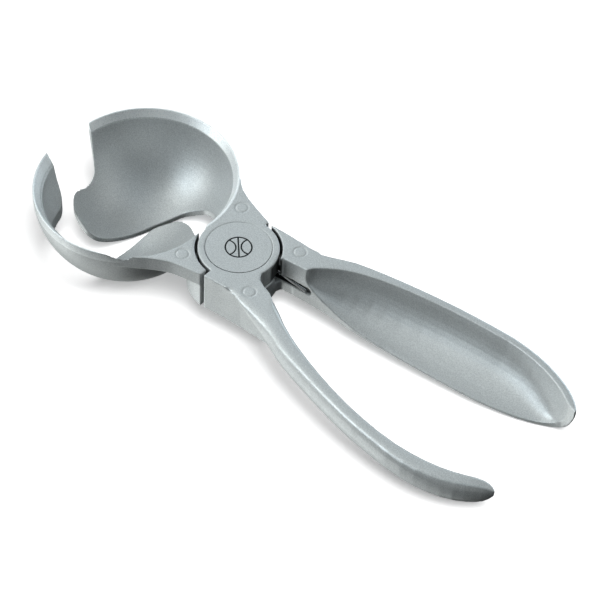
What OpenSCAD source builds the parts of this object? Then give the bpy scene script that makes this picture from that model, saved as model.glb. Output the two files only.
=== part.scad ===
// Nutcracker: two die-cast levers that cross at one bolted pivot.
// Frame: origin on the pivot axis at the underside of the hub, +X to the handles, +Y to the side of
// the bowl and the spoon, +Z up. The model is drawn in its sprung-open rest position.

/* [Hub] */
// Height of the hub, and of the flat top of both levers
hub_h = 15.6; // [14.6:0.1:17]
// Radius of the round hub plates
hub_r = 13.4; // [13.2:0.1:13.7]
// Radius of the cap set in the top of the hub
cap_r = 10.9; // [10:0.1:11.2]
// Thickness of the cap
cap_t = 1.5; // [1.2:0.1:1.8]

/* [Nut cup] */
// Distance from the pivot axis to the middle of the nut cup
cup_x = 45.8; // [45.4:0.1:46.2]
// Outer radius of both jaws
cup_r = 31; // [30.8:0.1:31.2]
// Inner radius of the half bowl
bowl_inner_r = 28.8; // [28.6:0.1:29]
// Inner radius of the claw
claw_inner_r = 28; // [27.8:0.1:28.2]

/* [Motion] */
// Angle of the claw's cup from the X axis at rest
claw_swing = 7.25; // [7:0.05:7.5]
// Angle of the bowl's cup from the X axis at rest
bowl_swing = 4.1; // [4:0.05:4.2]

/* [Handles] */
// Thickness of the spoon handle at its free lower edge
spoon_edge = 1.2; // [1:0.1:2]
// Width of the flat rim on the spoon handle
spoon_rim = 3.1; // [2.5:0.1:4]

/* [Pivot] */
// Diameter of the shoulder of the pivot bolt
shoulder_d = 8; // [7.6:0.1:8.2]
// Radial running clearance of the shoulder in its bush
run_gap = 0.05; // [0.03:0.01:0.08]
// Diameter of the spring wire
wire_d = 1.2; // [1:0.1:1.3]
// Turns of the spring coil
coil_turns = 2; // [2:1:2]

/* [Hidden] */
$fn = 96;
metal = [0.69, 0.73, 0.73];
steel = [0.62, 0.64, 0.66];
over = 1;                           // how far a cut runs past the face that it opens
through = 60;                       // reach of a cut that has to pass right through a lever

// Levels of the lap joint
lap_z = 7.7;
plate_gap = 0.3;
upper_z = lap_z + plate_gap / 2;
lower_z = lap_z - plate_gap / 2;
cheek_r = 14.4;                     // wall of each lever that faces the other lever's round plate
disc_r = 17;                        // lobe of the claw lever's lower plate, under its neck
disc_clear_r = 17.7;
plate_r_add = 0.3;                  // the lower plate, and the wall round it, are larger by this
bowl_x = cup_x - 1.1;               // middle of the bowl from the pivot axis
bowl_bevel_h = 3;                 // height of the bevel round each mouth
claw_bevel_h = 4.2;
rim_land = 0.45;                    // flat left between each bevel and the outside
lobe_y = -5;                        // the lobe stays below this
stop_x = -0.9;                      // face of the claw's neck that meets the slim neck when fully open
neck_z = 10;                        // underside of the claw's neck, where it stands out past the disc

// Rings left by the ejector pins of the casting die
mark_r = 2.1;
mark_w = 0.3;
mark_depth = 0.15;
nut_mark_depth = 0.3;               // of the line drawing on the cap

// Pivot hardware levels, from the underside upwards
bottom_cap_t = 1;
nut_h = 2;
nut_af = 8;
nut_z = bottom_cap_t + 0.3;
nut_washer_t = 0.5;
nut_washer_r = 6;
nut_washer_z = nut_z + nut_h;
bush_z = nut_washer_z + nut_washer_t + 0.05;
head_h = 1.8;
head_z = hub_h - cap_t - 0.2 - head_h;
head_r = 6;
head_gap = 0.6;                     // round the bolt head and its washer
head_socket_af = 4;
head_socket_d = 1.4;
cap_gap = 0.08;                     // round the cap
head_washer_t = 0.5;
stud_r = 2.5;
stud_gap = 0.05;                    // between the stud or shoulder and its washers
shoulder_r = shoulder_d / 2;
bush_r = shoulder_r + 1.2;
nut_pocket_r = 6.8;
lap_washer_r = hub_r - 0.6;

// Spring in its pocket round the bush
pocket_r = 9.4;
coil_r = 7.6;
coil_pitch = wire_d + 0.15;
low_leg_z = lap_z - 1.7;
high_leg_z = low_leg_z + (coil_turns + 0.5) * coil_pitch;
pocket_lo = low_leg_z - wire_d / 2 - 0.3;
pocket_hi = high_leg_z + wire_d / 2 + 0.3;
leg_end = 23.2;

// Shared curve helpers ------------------------------------------------------------------

// Smooth value at x through the control points pts (x rising), by a monotone-friendly cubic
function slope_at(p, i) = i == 0 ? (p[1][1] - p[0][1]) / (p[1][0] - p[0][0])
    : i == len(p) - 1 ? (p[i][1] - p[i - 1][1]) / (p[i][0] - p[i - 1][0])
    : (p[i + 1][1] - p[i - 1][1]) / (p[i + 1][0] - p[i - 1][0]);
function seg_of(p, x, i = 0) = i >= len(p) - 2 || x < p[i + 1][0] ? i : seg_of(p, x, i + 1);
function curve_in(p, x, i) =
    let (h = p[i + 1][0] - p[i][0], t = (x - p[i][0]) / h,
         a = slope_at(p, i) * h, b = slope_at(p, i + 1) * h)
    (2 * t * t * t - 3 * t * t + 1) * p[i][1] + (t * t * t - 2 * t * t + t) * a
    + (3 * t * t - 2 * t * t * t) * p[i + 1][1] + (t * t * t - t * t) * b;
function curve(p, x) = curve_in(p, x, seg_of(p, x));

// Closed smooth outline through the points p, n steps between neighbours
function cr(a, b, c, d, t) = 0.5 * ((2 * b) + (c - a) * t + (2 * a - 5 * b + 4 * c - d) * t * t
    + (3 * b - a - 3 * c + d) * t * t * t);
function open_spline(p, n) = [for (i = [0 : len(p) - 2]) for (k = [0 : n - 1])
    cr(p[max(i - 1, 0)], p[i], p[i + 1], p[min(i + 2, len(p) - 1)], k / n), p[len(p) - 1]];

function reverse(v) = [for (i = [len(v) - 1 : -1 : 0]) v[i]];

// Solid through rings of equal length, closed by flat ends
module loft(rings) {
    n = len(rings[0]);
    m = len(rings);
    polyhedron(
        points = [for (r = rings) each r],
        faces = concat(
            [[for (k = [0 : n - 1]) k]],
            [for (i = [0 : m - 2]) for (k = [0 : n - 1])
                let (a = i * n + k, b = i * n + (k + 1) % n) each [[a, a + n, b], [b, a + n, b + n]]],
            [[for (k = [n - 1 : -1 : 0]) (m - 1) * n + k]]),
        convexity = 6);
}

// Nut cup -------------------------------------------------------------------------------

edge_steps = 5;                     // short straight cuts between two points of an edge

// Edge of the claw seen from above, measured from the middle of its cup, from the tip to the hub
claw_edge = open_spline([[-34, -3.4], [-27.4, -3.6], [-23.6, -5.2], [-21.5, -8.2], [-20, -12.6],
                         [-17.3, -18.2], [-13.2, -22.4], [-8.6, -24.8], [-4, -25.6], [0, -24.2],
                         [2, -20.4], [1.6, -13], [1.5, -5], [3, 7], [5, 10.8], [9.2, 13.6],
                         [13.6, 13.9], [20, 10.2], [32, -2.4]], edge_steps);
// Lip of the bowl seen from above, from the tip to the hub
bowl_edge = open_spline([[-79, 7.8], [-73.2, 5.7], [-69, 2.5], [-67.1, -2.4], [-66.1, -9.4],
                         [-61.9, -14.3], [-55.9, -16], [-53.2, -15.6], [-51.2, -13.4],
                         [-49.1, -6.2], [-46, 4.4], [-44, 9.2], [-39.6, 16], [-33.9, 18.9],
                         [-30.7, 19], [-27.6, 18], [-24.5, 15.9], [-21, 12.3], [-15.6, 4.6],
                         [-13.4, -3]], edge_steps);
// Depth of the middle of each ball below the top: outside of the bowl, of the claw, and the hollows
bowl_sink = 0.7;
claw_sink = 1.1;
hollow_sink = 0.9;
scoop_at = [3.2, -1.3, 5];          // ball that thins the claw towards its edge
scoop_r = 28.8;

module claw_side() {
    polygon(concat(claw_edge, [[60, -60], [-60, -60], [-60, -3.4]]));
}
module off_bowl() {
    translate([0, 0, -through / 2]) linear_extrude(through)
        polygon(concat(bowl_edge, [[-13.4, -70], [-90, -70], [-90, 7.8]]));
}
// Lower half of the ball that both jaws are cut from
module cup_outer(sink) {
    intersection() {
        translate([0, 0, hub_h - sink]) sphere(cup_r, $fn = 128);
        translate([-through, -through, hub_h - through]) cube([2 * through, 2 * through, through]);
    }
}
module cup_inner(r) {
    translate([0, 0, hub_h - hollow_sink]) sphere(r, $fn = 128);
    translate([0, 0, hub_h - hollow_sink - 0.05]) cylinder(h = through, r = r - 0.02);
}
// Bevel down from the top edge r_top to r_low, at h below the top
module rim_bevel(r_top, r_low, h) {
    slope = (r_top - r_low) / h;
    translate([0, 0, hub_h - h])
        cylinder(h = h + over, r1 = r_low, r2 = r_top + over * slope, $fn = 128);
}

// Shallow ring left on a flat top by the casting die
module pin_mark(at) {
    translate([at[0], at[1], hub_h - mark_depth]) difference() {
        cylinder(h = over, r = mark_r + mark_w / 2, $fn = 40);
        translate([0, 0, -over]) cylinder(h = 3 * over, r = mark_r - mark_w / 2, $fn = 40);
    }
}

// Bowl lever ----------------------------------------------------------------------------

module at_bowl() {
    rotate(-bowl_swing) translate([-bowl_x, 0, 0]) children();
}
module bowl_hollow() {
    cup_inner(bowl_inner_r);
    rim_bevel(cup_r - rim_land, bowl_inner_r - 0.1, bowl_bevel_h);
}
module bowl_jaw() {
    difference() {
        at_bowl() cup_outer(bowl_sink);
        at_bowl() bowl_hollow();
        off_bowl();
    }
}
// Necks that join the hub plate to the bowl and to the slim handle
bowl_neck_edge = [[-1, 8], [-0.2, 15], [-3.8, 15.9], [-7.7, 16.9], [-12.1, 18.2], [-16.3, 19.9],
                  [-18.4, 21.4], [-20.4, 23.2], [-23, 21], [-20, 15], [-17.6, 9], [-15.6, 4],
                  [-13.4, -1.6], [-8, -4]];
slim_neck_edge = [[0.2, -8], [0.2, -16.7], [6.8, -15.8], [14.8, -14.9], [22, -14.4], [26.6, -14.2],
                  [25.4, -11.6], [23.2, -9.2], [20.5, -7.5], [17.3, -6.7], [14.6, -5.6], [12, -2]];

// Slim handle, as y of its outer and inner edges and z of its underside and top along x
slim_ridge = [[0, -16.4], [12.7, -15.3], [16.6, -16.2], [26, -18.2], [31.5, -19.8], [34.6, -21.2],
              [43, -23.6], [69.6, -28.8], [88.9, -30.4], [97, -30.1], [103, -29], [110, -26.6],
              [115, -23.6], [119, -20.4], [121.5, -18]];
slim_inner = [[0, -9], [12, -8], [17.6, -7.2], [22.1, -8], [26.5, -9.9], [32.6, -13.2], [43, -17.3],
              [55, -20.9], [66, -23.3], [75, -24.5], [84, -25.1], [92, -24.8], [99, -23.7],
              [105.5, -22], [111, -19.7], [115, -17.6], [118.5, -16.5], [120.2, -16.6],
              [121.5, -17.2]];
slim_low = [[0, 15], [10, 14], [16.6, 12], [21.4, 9], [26, 6.8], [33, 5.4], [45, 4.8], [70, 4.8],
            [100, 4.8], [110, 4.8], [116, 5.4], [119.4, 7], [121.5, 10.4]];
slim_top = [[0, 15.58], [60, 15.58], [90, 15.58], [100, 15.55], [112, 15.3], [117, 14.8],
            [119.7, 13.9], [121.5, 12.4]];
slim_belly = 0.65;                  // how far the outer face stands out past the top edge
slim_full_w = 4;                    // width from which the belly has its full size
slim_stations = [11, 13, 15.5, 18, 21, 24, 28, 32, 37, 42, 48, 54, 61, 68, 75, 82, 89, 95, 100,
                 104.5, 108.5, 112, 115, 117.3, 119, 120.2, 121, 121.4];
// Section as shares of the width from the outer edge, the height from the top, and the belly
slim_section = [[0.19, 0.012, 0], [0.09, 0.04, 0], [0.025, 0.1, 0.15], [0, 0.2, 0.55], [0, 0.36, 0.95],
                [0, 0.5, 1], [0.03, 0.65, 0.85], [0.1, 0.8, 0.4], [0.24, 0.93, 0], [0.5, 1, 0],
                [0.72, 0.95, 0], [0.87, 0.82, 0], [0.96, 0.62, 0], [1, 0.4, 0], [0.97, 0.2, 0],
                [0.88, 0.06, 0], [0.72, 0, 0], [0.32, 0, 0]];
module slim_handle() {
    loft([for (x = slim_stations)
        let (o = curve(slim_ridge, x), b = curve(slim_low, x), t = curve(slim_top, x),
             w = curve(slim_inner, x) - o, belly = slim_belly * min(1, w / slim_full_w))
        [for (q = slim_section) [x, o + q[0] * w - q[2] * belly, t - q[1] * (t - b)]]]);
}
module bowl_lever() {
    color(metal) difference() {
        union() {
            bowl_jaw();
            difference() {
                union() {
                    translate([0, 0, upper_z]) cylinder(h = hub_h - upper_z, r = hub_r);
                    linear_extrude(hub_h) polygon(bowl_neck_edge);
                    linear_extrude(hub_h) polygon(slim_neck_edge);
                    slim_handle();
                }
                at_bowl() bowl_hollow();
                intersection() {
                    off_bowl();
                    translate([-through, -through, -over]) cube([through, 2 * through, over + upper_z]);
                }
            }
        }
        translate([0, 0, -over]) cylinder(h = upper_z + over, r = cheek_r + plate_r_add);
        translate([0, 0, -over]) intersection() {
            cylinder(h = upper_z + over, r = disc_clear_r);
            translate([-through, -through, 0]) cube([through, through + lobe_y + 2, through]);
        }
        translate([0, 0, hub_h - cap_t]) cylinder(h = cap_t + over, r = cap_r + cap_gap);
        translate([0, 0, head_z - head_washer_t]) cylinder(h = head_h + 2, r = head_r + head_gap);
        cylinder(h = through, r = shoulder_r);
        translate([0, 0, upper_z - over]) cylinder(h = pocket_hi - upper_z + over, r = pocket_r);
        slim_slot();
        pin_mark([-11.1, 13.6]);
        pin_mark([15.5, -11.7]);
    }
}
module slim_slot() {
    half = wire_d / 2 + 0.3;
    translate([0, -coil_r - half, high_leg_z - half]) cube([leg_end + 0.6, 5, 2 * half]);
}

// Claw lever ----------------------------------------------------------------------------

module at_claw() {
    rotate(claw_swing) translate([-cup_x, 0, 0]) children();
}
module claw_jaw() {
    at_claw() difference() {
        intersection() {
            cup_outer(claw_sink);
            translate([0, 0, -through / 2]) linear_extrude(through) claw_side();
        }
        claw_hollow();
    }
}
module claw_hollow() {
    cup_inner(claw_inner_r);
    rim_bevel(cup_r - rim_land, claw_inner_r, claw_bevel_h);
    translate([0, 0, hub_h]) translate(scoop_at) sphere(scoop_r, $fn = 128);
}
module lower_disc() {
    intersection() {
        cylinder(h = neck_z + 0.5, r = disc_r);
        translate([-through, -through, 0]) cube([through + over, through + lobe_y, through]);
    }
}
claw_neck_edge = open_spline([[1, -16.7], [-5.7, -18.3], [-11.8, -20.1], [-17.4, -23.4],
                              [-21.4, -26.4], [-28.5, -31.2], [-33, -32.5]], edge_steps);
module claw_neck() {
    translate([0, 0, neck_z]) linear_extrude(hub_h - neck_z)
        polygon(concat(claw_neck_edge, [[-33, -30], [-28, -24], [-22, -14], [-17, -4.2],
                                        [-14.6, -3.9], [-10, -3.8], [1, -8]]));
}
spoon_neck_edge = [[1.3, 8], [1.3, 14.7], [6.5, 15.3], [12.7, 15.7], [18, 16], [20.4, 16.5],
                   [24.4, 15], [24.4, 8], [20.4, 7.5], [13.6, 6.4], [12, 2]];

// Spoon handle, as y of its outer and inner edges and z of its underside along x
spoon_out = [[14, 15.8], [18, 16], [22.4, 17.2], [33.5, 22.4], [62.4, 29.1], [88, 32.5], [97, 32.4],
             [104, 31.4], [110, 29.8], [114.6, 28], [118, 26], [120.6, 23.8], [121.9, 22]];
spoon_low = [[14, 6.6], [30, 8.3], [46.3, 8.9], [85, 13.2], [97, 15.6], [105, 18], [114.3, 21.8],
             [117.8, 22.4], [121.9, 21.4]];
spoon_floor = [[14, 0], [105, 0], [110, 0.2], [113.5, 0.8], [116.4, 2.2], [118.8, 4.6],
               [120.3, 7.6], [121.3, 10.6], [121.9, 13]];
spoon_stations = [18, 21, 24, 28, 32, 37, 42, 48, 54, 61, 68, 75, 82, 89, 95, 100, 104, 107.5, 110.5,
                  113, 115, 117, 118.8, 120, 121, 121.7];
arc_steps = 11;                     // steps of each rounded section
// Power of the outside's superellipse along x
spoon_bulge = [[14, 9], [22, 8], [28, 5.4], [36, 3.4], [46, 2.5], [54, 2.35], [125, 2.35]];
// Quarter superellipse of power e from [y0, z0] to [y1, z1]
function quarter(y0, z0, y1, z1, e) = [for (k = [0 : arc_steps]) let (a = 90 * k / arc_steps)
    [y0 + (y1 - y0) * (1 - pow(cos(a), 2 / e)), z0 + (z1 - z0) * pow(sin(a), 2 / e)]];
module spoon_outer() {
    loft([for (x = spoon_stations)
        let (o = curve(spoon_out, x), l = curve(spoon_low, x), b = curve(spoon_floor, x), w = o - l)
        reverse(concat(
            [[x, o - min(1.7, w * 0.4), hub_h], [x, o - min(0.8, w * 0.2), hub_h - 0.18],
             [x, o - min(0.25, w * 0.06), hub_h - 0.6]],
            [for (q = quarter(o, hub_h - 1.3, l, b, curve(spoon_bulge, x))) [x, q[0], q[1]]],
            [[x, l - 0.1 * min(1, w), b + min(spoon_edge, (hub_h - b) * 0.4)],
             [x, l, b + 0.7 * (hub_h - b)], [x, l + 0.02 * w, hub_h - 0.1],
             [x, l + 0.1 * w, hub_h]]))]);
}
// Width and depth of the hollow along x, as shares of their full size
hollow_out = [[22.8, 0.1], [23.4, 0.26], [24.6, 0.42], [27, 0.59], [30, 0.725], [34, 0.835],
              [39, 0.915], [45, 0.963], [52, 0.986], [60, 0.997], [68, 1], [100, 1],
              [107.5, 0.992], [112.4, 0.955], [115.6, 0.83], [117.4, 0.63], [118.6, 0.42],
              [119.6, 0.2]];
hollow_deep = [[22.8, 0.3], [23.6, 0.42], [25, 0.52], [28, 0.645], [33, 0.785], [38, 0.875],
               [44, 0.938], [52, 0.978], [60, 0.995], [68, 1], [100, 1], [107.5, 0.99],
               [112.4, 0.955], [115.6, 0.87], [117.4, 0.74], [118.6, 0.58], [119.6, 0.4]];
hollow_bulge = 2.15;
hollow_stations = [22.9, 23.4, 24.2, 25.2, 26.6, 28.4, 31, 34.5, 38.5, 43, 48, 54, 61, 68, 75, 82,
                   89, 95, 100, 104, 107.5, 110.5, 113.4, 115.4, 116.8, 117.8, 118.6];
module spoon_hollow() {
    top = hub_h + 3;
    loft([for (x = hollow_stations)
        let (l = curve(spoon_low, x), o = curve(spoon_out, x) - spoon_rim, b = curve(spoon_floor, x),
             w = (o - l) * curve(hollow_out, x),
             z = hub_h - (hub_h - b - spoon_edge) * curve(hollow_deep, x))
        reverse(concat([[x, l + w, top]],
            [for (q = quarter(l + w, hub_h, l, z, hollow_bulge)) [x, q[0], q[1]]],
            [[x, l - 4, z], [x, l - 14, z + 6], [x, l - 14, top]]))]);
}
module claw_lever() {
    color(metal) difference() {
        union() {
            claw_jaw();
            difference() {
                union() {
                    claw_neck();
                    lower_disc();
                }
                at_claw() claw_hollow();
            }
            cylinder(h = lower_z, r = hub_r + plate_r_add);
            difference() {
                union() {
                    linear_extrude(hub_h) polygon(spoon_neck_edge);
                    spoon_outer();
                }
                spoon_hollow();
            }
        }
        translate([stop_x, -through, -over])
            cube([through, through - hub_r - plate_r_add, through]);
        translate([0, 0, lower_z]) cylinder(h = through, r = cheek_r);
        translate([0, 0, -over]) cylinder(h = through, r = bush_r);
        translate([0, 0, -over]) cylinder(h = bush_z + over, r = nut_pocket_r);
        translate([0, 0, pocket_lo]) cylinder(h = through, r = pocket_r);
        spoon_slot();
        pin_mark([-11.2, -14.7]);
        pin_mark([15.9, 12.2]);
    }
}
module spoon_slot() {
    slot_h = 2.9;
    end_x = leg_end + 0.4;
    translate([0, coil_r - 4, low_leg_z - slot_h / 2]) cube([end_x, 5, slot_h]);
    translate([end_x, coil_r + 1, low_leg_z]) rotate([90, 0, 0]) cylinder(h = 5, r = slot_h / 2);
}

// Pivot hardware ------------------------------------------------------------------------

// Drawing of a nut: a ring, its seam, and a curved line each side of the seam
module nut_mark() {
    r = 4.6;
    line = 0.55;
    side_x = 4.2;
    side_r = 3.6;
    difference() {
        circle(r);
        circle(r - line);
    }
    translate([-line / 2, -r]) square([line, 2 * r]);
    for (s = [-1, 1]) difference() {
        intersection() {
            translate([s * side_x, 0]) circle(side_r);
            circle(r);
        }
        translate([s * side_x, 0]) circle(side_r - line);
    }
}
module medallion() {
    color(metal) translate([0, 0, hub_h - cap_t]) difference() {
        cylinder(h = cap_t, r = cap_r);
        translate([0, 0, cap_t - nut_mark_depth]) rotate(45) linear_extrude(over) nut_mark();
    }
}
module pivot_bolt() {
    color(steel) difference() {
        union() {
            translate([0, 0, nut_z]) cylinder(h = head_z - nut_z, r = stud_r);
            translate([0, 0, bush_z]) cylinder(h = head_z - bush_z, r = shoulder_r);
            translate([0, 0, head_z]) cylinder(h = head_h, r = head_r);
        }
        translate([0, 0, head_z + head_h - head_socket_d])
            cylinder(h = head_socket_d + over, r = head_socket_af / sqrt(3), $fn = 6);
    }
}
module ring(r_out, r_in, h) {
    difference() {
        cylinder(h = h, r = r_out);
        translate([0, 0, -over]) cylinder(h = h + 2 * over, r = r_in);
    }
}
module head_washer() {
    color(steel) translate([0, 0, head_z - head_washer_t])
        ring(head_r, shoulder_r + stud_gap, head_washer_t);
}
module lap_washer() {
    color("dimgray") translate([0, 0, lower_z])
        ring(lap_washer_r, pocket_r + 0.3, plate_gap - 0.04);
}
module pivot_bush() {
    color("darkkhaki") translate([0, 0, bush_z])
        ring(bush_r, shoulder_r + run_gap, pocket_hi - 0.1 - bush_z);
}
module nut_washer() {
    color(steel) translate([0, 0, nut_washer_z])
        ring(nut_washer_r, stud_r + stud_gap, nut_washer_t);
}
module pivot_nut() {
    color(steel) translate([0, 0, nut_z]) difference() {
        cylinder(h = nut_h, r = nut_af / sqrt(3), $fn = 6);
        translate([0, 0, -over]) cylinder(h = nut_h + 2 * over, r = stud_r);
    }
}
module bottom_cap() {
    color(metal) cylinder(h = bottom_cap_t, r = nut_pocket_r);
}

// Spring: a coil with two straight legs, swept as one tube
module torsion_spring() {
    steps = 20;
    sides = 8;
    span = steps * (coil_turns + 0.5);
    coil = [for (k = [0 : span]) let (a = 90 + 360 * k / steps)
        [coil_r * cos(a), coil_r * sin(a), low_leg_z + coil_pitch * k / steps]];
    path = concat([[leg_end, coil_r, low_leg_z], [leg_end / 2, coil_r, low_leg_z]], coil,
                  [[leg_end / 2, -coil_r, high_leg_z], [leg_end, -coil_r, high_leg_z]]);
    color(steel) tube(path, wire_d / 2, sides);
}
function unit(v) = v / norm(v);
module tube(path, r, sides) {
    m = len(path);
    loft([for (i = [0 : m - 1])
        let (d = unit(path[min(i + 1, m - 1)] - path[max(i - 1, 0)]),
             s = unit(cross([0, 0, 1], d)), u = cross(d, s))
        [for (k = [0 : sides - 1]) let (a = 360 * k / sides)
            path[i] + r * (cos(a) * s + sin(a) * u)]]);
}

bowl_lever();
claw_lever();
medallion();
torsion_spring();
pivot_bolt();
head_washer();
lap_washer();
pivot_bush();
nut_washer();
pivot_nut();
bottom_cap();
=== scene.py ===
import math

import bpy
import numpy as np
from mathutils import Matrix, Vector


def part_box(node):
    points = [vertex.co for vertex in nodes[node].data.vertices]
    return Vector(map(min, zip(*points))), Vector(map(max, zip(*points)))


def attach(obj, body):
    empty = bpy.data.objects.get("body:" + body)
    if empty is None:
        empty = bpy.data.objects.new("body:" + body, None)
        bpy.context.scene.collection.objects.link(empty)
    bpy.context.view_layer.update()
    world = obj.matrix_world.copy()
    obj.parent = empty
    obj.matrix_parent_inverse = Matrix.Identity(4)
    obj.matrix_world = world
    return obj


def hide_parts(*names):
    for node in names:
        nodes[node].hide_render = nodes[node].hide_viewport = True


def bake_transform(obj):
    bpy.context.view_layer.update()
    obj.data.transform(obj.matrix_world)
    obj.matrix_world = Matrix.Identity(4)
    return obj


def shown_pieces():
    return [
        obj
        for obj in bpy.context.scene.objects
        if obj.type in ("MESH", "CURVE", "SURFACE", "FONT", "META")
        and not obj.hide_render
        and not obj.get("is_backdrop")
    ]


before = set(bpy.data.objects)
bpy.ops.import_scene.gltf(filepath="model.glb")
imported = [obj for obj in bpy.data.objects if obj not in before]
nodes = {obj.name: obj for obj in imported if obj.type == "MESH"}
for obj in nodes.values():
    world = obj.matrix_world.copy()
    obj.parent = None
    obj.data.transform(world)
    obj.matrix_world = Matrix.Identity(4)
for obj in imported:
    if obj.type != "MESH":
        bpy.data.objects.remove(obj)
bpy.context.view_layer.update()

scene = bpy.context.scene
MM = 0.001


# Hub and neck of the spring's slot, from the cap's place in the hub
HUB_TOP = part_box("medallion")[1].z
HUB_R = 0.0134
CHEEK_R = 0.0144
LAP_Z = 0.0079
NECK_SLANT = 0.16
NECK_Y = 0.00425


# ---- camera -----------------------------------------------------------------------------------------------------
def add_camera():
    data = bpy.data.cameras.new("camera")
    data.lens = 150.0
    data.sensor_width = 36.0
    data.clip_start = 0.05
    data.clip_end = 20.0
    cam = bpy.data.objects.new("camera", data)
    scene.collection.objects.link(cam)
    right = Vector((0.745401, 0.665584, 0.037085))
    up = Vector((-0.522969, 0.549371, 0.651686))
    back = -Vector((-0.413379, 0.505162, -0.757581))
    spot = Vector((0.35974, -0.40661, 0.62067))
    cam.matrix_world = Matrix(((right.x, up.x, back.x, spot.x), (right.y, up.y, back.y, spot.y),
                               (right.z, up.z, back.z, spot.z), (0, 0, 0, 1)))
    scene.camera = cam
    return cam


cam = add_camera()
scene.view_settings.view_transform = "Standard"


# ---- material helpers -------------------------------------------------------------------------------------------
class Graph:
    """A new material with a principled shader, and short ways to add nodes to it."""

    def __init__(self, name, rough=0.4, metal=1.0, specular=0.5):
        self.m = bpy.data.materials.new(name)
        self.m.use_nodes = True
        self.t = self.m.node_tree
        self.s = self.t.nodes["Principled BSDF"]
        self.s.inputs["Roughness"].default_value = rough
        self.s.inputs["Metallic"].default_value = metal
        self.s.inputs["Specular IOR Level"].default_value = specular

    def node(self, kind, **values):
        n = self.t.nodes.new(kind)
        for key, value in values.items():
            if key.startswith("in_"):
                n.inputs[key[3:].replace("_", " ")].default_value = value
            else:
                setattr(n, key, value)
        return n

    def link(self, a, b):
        self.t.links.new(a, b)

    def place(self):
        return self.node("ShaderNodeTexCoord").outputs["Object"]

    def noise(self, scale, detail=2.0, rough=0.5, vector=None):
        n = self.node("ShaderNodeTexNoise", in_Scale=scale, in_Detail=detail, in_Roughness=rough)
        self.link(vector or self.place(), n.inputs["Vector"])
        return n.outputs["Fac"]

    def span(self, value, lo, hi, to_lo, to_hi):
        n = self.node("ShaderNodeMapRange", in_From_Min=lo, in_From_Max=hi, in_To_Min=to_lo, in_To_Max=to_hi)
        self.link(value, n.inputs["Value"])
        return n.outputs["Result"]

    def ramp(self, value, *stops):
        n = self.node("ShaderNodeValToRGB")
        band = n.color_ramp.elements
        while len(band) < len(stops):
            band.new(0.5)
        for e, (at, colour) in zip(band, stops):
            e.position = at
            e.color = (*colour, 1.0)
        self.link(value, n.inputs["Fac"])
        return n.outputs["Color"]

    def mix(self, fac, a, b):
        n = self.node("ShaderNodeMix", data_type="RGBA")
        self.link(fac, n.inputs["Factor"])
        for value, socket in ((a, n.inputs[6]), (b, n.inputs[7])):
            if isinstance(value, tuple):
                socket.default_value = (*value, 1.0)
            else:
                self.link(value, socket)
        return n.outputs[2]

    def times(self, a, b):
        n = self.node("ShaderNodeMix", data_type="RGBA", blend_type="MULTIPLY")
        n.inputs["Factor"].default_value = 1.0
        self.link(a, n.inputs[6])
        self.link(b, n.inputs[7])
        return n.outputs[2]

    def flat(self, colour):
        n = self.node("ShaderNodeCombineColor")
        for socket, value in zip(n.inputs, colour):
            socket.default_value = value
        return n.outputs["Color"]

    def maths(self, kind, a, b=0.0):
        n = self.node("ShaderNodeMath", operation=kind)
        for value, socket in ((a, n.inputs[0]), (b, n.inputs[1])):
            if isinstance(value, float):
                socket.default_value = value
            else:
                self.link(value, socket)
        return n.outputs[0]

    def most(self, a, b):
        return self.maths("MAXIMUM", a, b)

    def xyz(self):
        part = self.node("ShaderNodeSeparateXYZ")
        self.link(self.place(), part.inputs[0])
        return part.outputs["X"], part.outputs["Y"], part.outputs["Z"]

    def away(self, x, y, from_x=0.0, from_y=0.0):
        """Distance from an upright axis."""
        dx = self.maths("SUBTRACT", x, from_x)
        dy = self.maths("SUBTRACT", y, from_y)
        return self.maths("SQRT", self.maths("ADD", self.maths("MULTIPLY", dx, dx), self.maths("MULTIPLY", dy, dy)))

    def within(self, value, low, high, soft=0.0002):
        """One between low and high, fading to zero over soft on either side."""
        rise = self.span(value, low - soft, low, 0.0, 1.0)
        fall = self.span(value, high, high + soft, 1.0, 0.0)
        return self.maths("MULTIPLY", rise, fall)

    def past_rim(self, x, y, radius, z):
        """One outside the upright cylinder at x, y and above z, and zero inside it."""
        at_x, at_y, at_z = self.xyz()
        away = self.away(at_x, at_y, x, y)
        out = self.span(away, radius - 0.00015, radius + 0.00015, 0.0, 1.0)
        over = self.span(away, radius + 0.0023, radius + 0.0026, 1.0, 0.0)
        high = self.span(at_z, z, z + 0.0004, 0.0, 1.0)
        return self.maths("MULTIPLY", self.maths("MULTIPLY", out, over), high)

    def bump(self, *layers):
        """layers are (height, strength, distance in metres); each bump feeds the next."""
        last = None
        for height, strength, distance in layers:
            n = self.node("ShaderNodeBump", in_Strength=strength, in_Distance=distance)
            self.link(height, n.inputs["Height"])
            if last is not None:
                self.link(last, n.inputs["Normal"])
            last = n.outputs["Normal"]
        self.link(last, self.s.inputs["Normal"])


def gap_painted_shade(g, wall):
    """Painted shade on the upright wall of radius wall that closes the gap round the hub, darker further down."""
    x, y, z = g.xyz()
    ring = g.within(g.away(x, y), wall - 0.0004, wall + 0.0004)
    deep = g.maths("MULTIPLY", g.span(z, HUB_TOP - 0.0016, HUB_TOP - 0.0003, 1.0, 0.0), g.span(z, LAP_Z, LAP_Z + 0.0003, 0.0, 1.0))
    return g.maths("MULTIPLY", ring, deep)


# Painted shade in the gap round the hub, on the bowl side's wall where x is below about -5 mm or y above about 1 mm.
def bowl_painted_shade(g):
    x, y, z = g.xyz()
    covered = g.most(g.span(x, -0.0065, -0.005, 1.0, 0.0), g.span(y, 0.0005, 0.0015, 0.0, 1.0))
    return g.maths("MULTIPLY", gap_painted_shade(g, HUB_R), covered)


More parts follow.
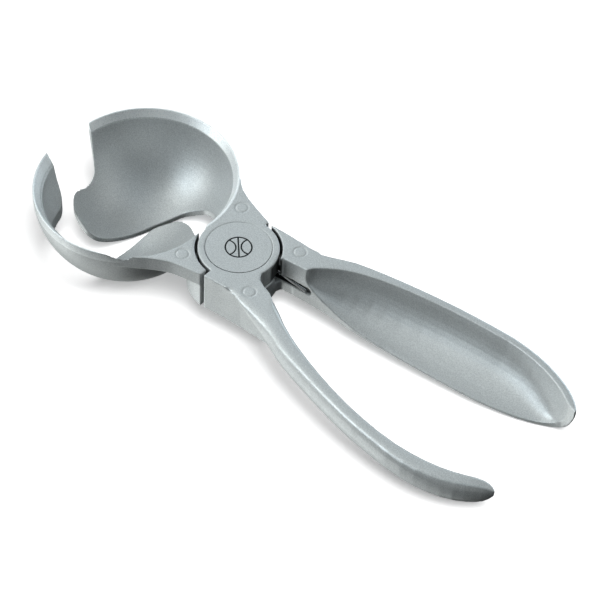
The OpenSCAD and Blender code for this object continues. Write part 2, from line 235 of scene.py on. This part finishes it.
def claw_painted_shade(g):
    """Painted shade in the gap round the hub, and also in the slot of the spring's leg, cut into the slanting inner
    face of the claw side's neck.
    """
    x, y, z = g.xyz()
    past_face = g.maths("SUBTRACT", y, g.maths("MULTIPLY", x, NECK_SLANT))
    slot = g.maths("MULTIPLY", g.span(past_face, NECK_Y + 0.0001, NECK_Y + 0.0005, 0.0, 1.0), g.within(x, 0.009, 0.0249))
    slot = g.maths("MULTIPLY", slot, g.maths("MULTIPLY", g.within(z, 0.0045, 0.0075), g.within(y, 0.0, 0.0089)))
    return g.most(gap_painted_shade(g, CHEEK_R), slot)


def cast_metal(name, rim=None, painted_shade=None):
    """Die-cast aluminium under a satin silver lacquer: fine sparkle and slight clouding.
    rim is (x, y, radius, z): past that radius and height the colour is painted brighter, a painted highlight on the
    rim's bevel."""
    g = Graph(name, metal=0.5)
    grain = g.noise(2500.0, 1.0, 0.5)
    fine = g.noise(4200.0, 1.0, 0.5)
    cloud = g.noise(45.0, 3.0, 0.55)
    mottle = g.noise(420.0, 2.0, 0.5)
    base = g.ramp(cloud, (0.3, (0.60, 0.61, 0.612)), (0.72, (0.64, 0.65, 0.652)))
    speck = g.ramp(grain, (0.30, (0.89, 0.89, 0.895)), (0.5, (1.0, 1.0, 1.0)), (0.70, (1.11, 1.11, 1.105)))
    spark = g.ramp(fine, (0.35, (0.91, 0.91, 0.91)), (0.65, (1.09, 1.09, 1.09)))
    colour = g.times(g.times(base, speck), spark)
    if rim is not None:
        # Painted highlight: the rim's bevel is painted brighter.
        colour = g.mix(g.past_rim(*rim), colour, g.times(colour, g.flat((1.55, 1.55, 1.55))))
    if painted_shade is not None:
        # Painted shade: the colour is painted almost black where the mask is, in the gap round the hub and in the
        # spring's slot.
        colour = g.mix(g.maths("MULTIPLY", painted_shade(g), 0.92), colour, (0.02, 0.022, 0.023))
    g.link(colour, g.s.inputs["Base Color"])
    g.link(g.span(mottle, 0.3, 0.7, 0.38, 0.46), g.s.inputs["Roughness"])
    g.bump((grain, 0.25, 0.00003), (mottle, 0.08, 0.00005))
    return g.m


def steel(name, level=0.55, rough=0.3):
    """Turned or drawn steel with fine marks."""
    g = Graph(name, metal=1.0, rough=rough)
    marks = g.noise(5200.0, 2.0, 0.6)
    cloud = g.noise(260.0, 3.0, 0.55)
    g.link(g.ramp(cloud, (0.3, (level * 0.93,) * 3), (0.7, (level * 1.05,) * 3)), g.s.inputs["Base Color"])
    g.link(g.span(marks, 0.3, 0.7, rough - 0.06, rough + 0.08), g.s.inputs["Roughness"])
    g.bump((marks, 0.2, 0.00002))
    return g.m


def bronze(name):
    g = Graph(name, metal=1.0)
    pores = g.noise(3000.0, 3.0, 0.6)
    g.link(g.ramp(pores, (0.35, (0.28, 0.18, 0.08)), (0.6, (0.50, 0.34, 0.16))), g.s.inputs["Base Color"])
    g.link(g.span(pores, 0.3, 0.7, 0.34, 0.55), g.s.inputs["Roughness"])
    g.bump((pores, 0.3, 0.00004))
    return g.m


def nylon(name):
    g = Graph(name, metal=0.0)
    grain = g.noise(2200.0, 2.0, 0.6)
    g.link(g.ramp(grain, (0.3, (0.012, 0.012, 0.013)), (0.7, (0.03, 0.03, 0.032))), g.s.inputs["Base Color"])
    g.link(g.span(grain, 0.3, 0.7, 0.5, 0.68), g.s.inputs["Roughness"])
    g.bump((grain, 0.25, 0.00004))
    return g.m


# ---- levers: the CAD solids with the soft edges of a casting -------------------------------------------------------
def smooth_mesh(co, edges, rounds, keep=0.53, step=0.5):
    """Alternate shrinking and swelling, which rounds edges and keeps the volume."""
    count = np.bincount(edges.ravel(), minlength=len(co)).astype(float)[:, None]
    a = np.concatenate([edges[:, 0], edges[:, 1]])
    b = np.concatenate([edges[:, 1], edges[:, 0]])
    for k in range(rounds):
        for amount in (step, -keep):
            mean = np.stack([np.bincount(a, weights=co[b, i], minlength=len(co)) for i in range(3)], 1) / count
            co = co + amount * (mean - co)
    return co


def soften(co, edges, spots, rounds=40):
    """Rub down sharp corners inside the balls (x, y, z, radius) in spots, as barrel polishing does."""
    share = np.zeros(len(co))
    for x, y, z, radius in spots:
        away = np.linalg.norm(co - np.array((x, y, z)), axis=1)
        share = np.maximum(share, np.clip(2 * (1 - away / radius), 0.0, 1.0))
    near = edges[(share[edges] > 0).any(axis=1)]
    pick = np.unique(near)
    index = np.full(len(co), -1)
    index[pick] = np.arange(len(pick))
    local = co[pick]
    near = index[near]
    a = np.concatenate([near[:, 0], near[:, 1]])
    b = np.concatenate([near[:, 1], near[:, 0]])
    count = np.bincount(a, minlength=len(pick)).astype(float)[:, None]
    for k in range(rounds):
        mean = np.stack([np.bincount(a, weights=local[b, i], minlength=len(pick)) for i in range(3)], 1) / count
        local = local + 0.5 * share[pick][:, None] * (mean - local)
    co = co.copy()
    co[pick] = local
    return co


def press_rings(co, spots, top, radius=2.1, half=0.36, depth=0.2):
    """Shallow round grooves that the casting die's ejector pins leave on the flat top."""
    flat = co[:, 2] > top - 0.3
    for x, y in spots:
        away = np.hypot(co[:, 0] - x, co[:, 1] - y)
        near = flat & (np.abs(away - radius) < half)
        co[near, 2] -= depth * np.cos((away[near] - radius) / half * math.pi / 2) ** 2
    return co


def casting(node, name, body, spots, worn_spots, voxel=0.28, rounds=22, most_faces=190000):
    """A finer copy of a CAD solid, remeshed and smoothed so that its edges are rounded as cast."""
    src = nodes[node]
    mesh = src.data.copy()
    mesh.name = name
    mesh.transform(Matrix.Scale(1.0 / MM, 4))
    piece = bpy.data.objects.new(name, mesh)
    scene.collection.objects.link(piece)
    piece.data.materials.clear()
    mod = piece.modifiers.new("remesh", "REMESH")
    mod.mode = "VOXEL"
    mod.voxel_size = voxel
    mod.use_smooth_shade = True
    bpy.context.view_layer.update()
    fine = bpy.data.meshes.new_from_object(piece.evaluated_get(bpy.context.evaluated_depsgraph_get()))
    piece.modifiers.clear()
    piece.data = fine
    bpy.data.meshes.remove(mesh)
    fine.name = name
    co = np.empty(len(fine.vertices) * 3)
    fine.vertices.foreach_get("co", co)
    edges = np.empty(len(fine.edges) * 2, dtype=np.int64)
    fine.edges.foreach_get("vertices", edges)
    low, high = (np.array(v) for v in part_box(node))
    co = smooth_mesh(co.reshape(-1, 3), edges.reshape(-1, 2), rounds)
    co = soften(co, edges.reshape(-1, 2), worn_spots)
    co = press_rings(co, spots, high[2] / MM) * MM
    co = np.clip(co, low, high)
    fine.vertices.foreach_set("co", co.ravel())
    fine.update()
    mod = piece.modifiers.new("thin", "DECIMATE")
    mod.ratio = min(1.0, most_faces / (2 * len(fine.polygons)))
    bpy.context.view_layer.update()
    thin = bpy.data.meshes.new_from_object(piece.evaluated_get(bpy.context.evaluated_depsgraph_get()))
    piece.modifiers.clear()
    piece.data = thin
    bpy.data.meshes.remove(fine)
    fine = thin
    fine.name = name
    fine.polygons.foreach_set("use_smooth", [True] * len(fine.polygons))
    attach(piece, body)
    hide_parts(node)
    print("casting", name, len(fine.polygons), "faces")
    return piece


bowl = casting("bowl_lever", "bowl_lever_cast", "bowl_side", ((-11.1, 13.6), (15.5, -11.7)),
               ((11.3, -15.6, 15.4, 2.6),))
claw = casting("claw_lever", "claw_lever_cast", "claw_side", ((-11.2, -14.7), (15.9, 12.2)),
               ((-25.5, -29.8, 15.2, 4.0),))
CUP_R = 0.031
bowl_low, bowl_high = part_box("bowl_lever")
claw_low, claw_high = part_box("claw_lever")
bowl.data.materials.append(cast_metal("satin_bowl_lever", (bowl_low.x + 0.0308, bowl_high.y - CUP_R, 0.0288, 0.0127),
                                      bowl_painted_shade))
claw.data.materials.append(cast_metal("satin_claw_lever", (claw_low.x + 0.0301, claw_low.y + CUP_R, 0.0285, 0.0118),
                                      claw_painted_shade))


# ---- the cap with its incised nut mark ------------------------------------------------------------------------------
def cap_metal():
    m = cast_metal("satin_cap")
    t = m.node_tree
    s = t.nodes["Principled BSDF"]
    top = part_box("medallion")[1].z
    xyz = t.nodes.new("ShaderNodeSeparateXYZ")
    at = t.nodes.new("ShaderNodeTexCoord")
    t.links.new(at.outputs["Object"], xyz.inputs[0])
    deep = t.nodes.new("ShaderNodeMapRange")
    deep.inputs["From Min"].default_value = top - 0.00022
    deep.inputs["From Max"].default_value = top - 0.00006
    t.links.new(xyz.outputs["Z"], deep.inputs["Value"])
    mix = t.nodes.new("ShaderNodeMix")
    mix.data_type = "RGBA"
    mix.inputs[6].default_value = (0.018, 0.022, 0.023, 1.0)
    was = s.inputs["Base Color"].links[0].from_socket
    t.links.new(deep.outputs["Result"], mix.inputs["Factor"])
    t.links.new(was, mix.inputs[7])
    t.links.new(mix.outputs[2], s.inputs["Base Color"])
    return m


def paint(node, material):
    for place in nodes[node].material_slots:
        place.material = material


paint("medallion", cap_metal())
paint("bottom_cap", cast_metal("satin_base"))
paint("pivot_bolt", steel("bolt_steel"))
paint("head_washer", steel("washer_steel", 0.6, 0.26))
paint("nut_washer", steel("nut_washer_steel", 0.6, 0.26))
paint("pivot_nut", steel("nut_steel", 0.5, 0.32))
paint("pivot_bush", bronze("bush_bronze"))
paint("lap_washer", nylon("washer_nylon"))


# ---- the spring: a wire coil round the pivot, with one leg in the neck of each handle --------------------------------
def wire_coil(name, node, wire=0.0006, turns=2.5, sides=16, steps=216):
    """The low leg follows the claw side, the high leg the bowl side, and the turns between them wind up or down."""
    low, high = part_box(node)
    reach = min(-low.x, -low.y, high.y) - wire
    z_low, z_high = low.z + wire, high.z - wire
    line = [((high.x, reach, z_low), 0.75 * wire), ((high.x - 0.2 * wire, reach, z_low), wire)]
    for k in range(steps + 1):
        turn = math.radians(90.0 + 360.0 * turns * k / steps)
        height = z_low + (z_high - z_low) * k / steps
        line.append(((reach * math.cos(turn), reach * math.sin(turn), height), wire))
    line += [((high.x - 0.2 * wire, -reach, z_high), wire), ((high.x, -reach, z_high), 0.75 * wire)]
    points = [Vector(p) for p, r in line]
    verts = []
    for k, (p, r) in enumerate(line):
        along = (points[min(k + 1, len(line) - 1)] - points[max(k - 1, 0)]).normalized()
        side = along.cross(Vector((0, 0, 1))).normalized()
        up = side.cross(along)
        for s in range(sides):
            a = 2 * math.pi * s / sides
            verts.append(points[k] + r * (math.cos(a) * side + math.sin(a) * up))
    faces = [tuple(range(sides)), tuple(reversed(range(len(verts) - sides, len(verts))))]
    for k in range(len(line) - 1):
        for s in range(sides):
            n = (s + 1) % sides
            faces.append((k * sides + s, (k + 1) * sides + s, (k + 1) * sides + n, k * sides + n))
    mesh = bpy.data.meshes.new(name)
    mesh.from_pydata(verts, [], faces)
    mesh.polygons.foreach_set("use_smooth", [len(f) == 4 for f in faces])
    mesh.materials.append(steel("spring_steel", 0.72, 0.2))
    piece = bpy.data.objects.new(name, mesh)
    scene.collection.objects.link(piece)
    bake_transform(piece)
    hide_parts(node)


wire_coil("torsion_spring_wire", "torsion_spring")


# ---- floor, lights, surroundings ------------------------------------------------------------------------------------
def add_floor():
    """The tool stands on the bottom of its cup and on the end of the wide handle, so the floor slopes against the frame."""
    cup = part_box("claw_lever")[0].z
    rest_x, tip_x = -0.045, 0.112
    slope = (0.0 - cup) / (tip_x - rest_x)
    size = 6.0
    mesh = bpy.data.meshes.new("floor")
    pts = []
    for x, y in ((-size, -size), (size, -size), (size, size), (-size, size)):
        pts.append((x, y, cup - 0.0003 + slope * (x - rest_x)))
    mesh.from_pydata(pts, [], [(0, 1, 2, 3)])
    floor = bpy.data.objects.new("floor", mesh)
    scene.collection.objects.link(floor)
    g = Graph("pale_floor", rough=0.9, metal=0.0, specular=0.1)
    speck = g.noise(30.0, 2.0, 0.5)
    g.link(g.ramp(speck, (0.3, (0.90, 0.90, 0.90)), (0.7, (0.92, 0.92, 0.92))), g.s.inputs["Base Color"])
    mesh.materials.append(g.m)
    g.s.inputs["Emission Color"].default_value = (1.0, 1.0, 1.0, 1.0)
    g.s.inputs["Emission Strength"].default_value = 0.36
    g.m.cycles.emission_sampling = "NONE"
    floor.visible_glossy = False
    floor.visible_diffuse = False
    floor.visible_shadow = False
    floor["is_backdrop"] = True
    return floor


COOL = (0.80, 0.93, 1.0)
PLAIN = (0.95, 1.0, 0.985)
# Soft boxes round the tool, in rings by height: the ring's elevation, the size of its boxes, then the azimuth,
# strength and tint of each box
RINGS = (
    (90, 2.0, ((0, 0.06, COOL),)),
    (58, 2.0, ((0, 0.09, COOL), (72, 0.05, PLAIN), (144, 0.09, PLAIN), (216, 0.18, PLAIN))),
    (45, 1.0, ((232, 0.11, PLAIN),)),
    (30, 2.0, ((36, 0.17, PLAIN), (144, 0.18, COOL), (180, 0.23, PLAIN))),
    (28, 1.0, ((240, 0.22, COOL),)),
    (15, 1.0, ((225, 0.21, PLAIN),)),
    (0, 2.0, ((90, 0.69, COOL), (306, 0.07, PLAIN))),
    (-32, 2.0, ((216, 0.29, PLAIN),)),
    (-58, 2.0, ((180, 0.12, PLAIN), (252, 0.15, PLAIN))))
BOX_WATTS = 37.0
LAMP_DISTANCE = 2.0


def add_lamp(name, way, size, watts, tint, lit):
    """A round soft lamp that lights only what is in the collection lit, and is never seen itself."""
    data = bpy.data.lights.new(name, "AREA")
    data.shape = "DISK"
    data.size = size
    data.energy = watts
    data.color = tint
    lamp = bpy.data.objects.new(name, data)
    scene.collection.objects.link(lamp)
    way = Vector(way).normalized()
    lamp.location = Vector((0.02, 0.0, 0.0)) + way * LAMP_DISTANCE
    lamp.rotation_euler = way.to_track_quat("Z", "Y").to_euler()
    lamp.visible_camera = False
    lamp.light_linking.receiver_collection = lit


def add_soft_boxes(lit):
    for tilt, size, ring in RINGS:
        up = math.radians(tilt)
        for turn, strength, tint in ring:
            round_z = math.radians(turn)
            way = (math.cos(up) * math.cos(round_z), math.cos(up) * math.sin(round_z), math.sin(up))
            add_lamp("soft_box_%d_%d" % (tilt, turn), way, size, BOX_WATTS * strength, tint, lit)


def add_floor_lamp(lit):
    """The floor has a lamp of its own, so that it is evenly white and the tool's shadow stays close to its edges."""
    data = bpy.data.lights.new("floor_lamp", "SUN")
    data.energy = 3.6
    data.angle = math.radians(28.0)
    lamp = bpy.data.objects.new("floor_lamp", data)
    scene.collection.objects.link(lamp)
    lamp.rotation_euler = Vector((0.35, -0.26, 0.90)).to_track_quat("Z", "Y").to_euler()
    lamp.light_linking.receiver_collection = lit


def add_world():
    """White behind everything, for the camera alone."""
    world = bpy.data.worlds.new("studio")
    scene.world = world
    world.use_nodes = True
    t = world.node_tree
    back = t.nodes["Background"]
    path = t.nodes.new("ShaderNodeLightPath")
    t.links.new(path.outputs["Is Camera Ray"], back.inputs["Strength"])
    back.inputs["Color"].default_value = (1, 1, 1, 1)


floor = add_floor()
add_world()
tool_only = bpy.data.collections.new("tool_only")
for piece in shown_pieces():
    tool_only.objects.link(piece)
floor_only = bpy.data.collections.new("floor_only")
floor_only.objects.link(floor)
add_soft_boxes(tool_only)
add_floor_lamp(floor_only)

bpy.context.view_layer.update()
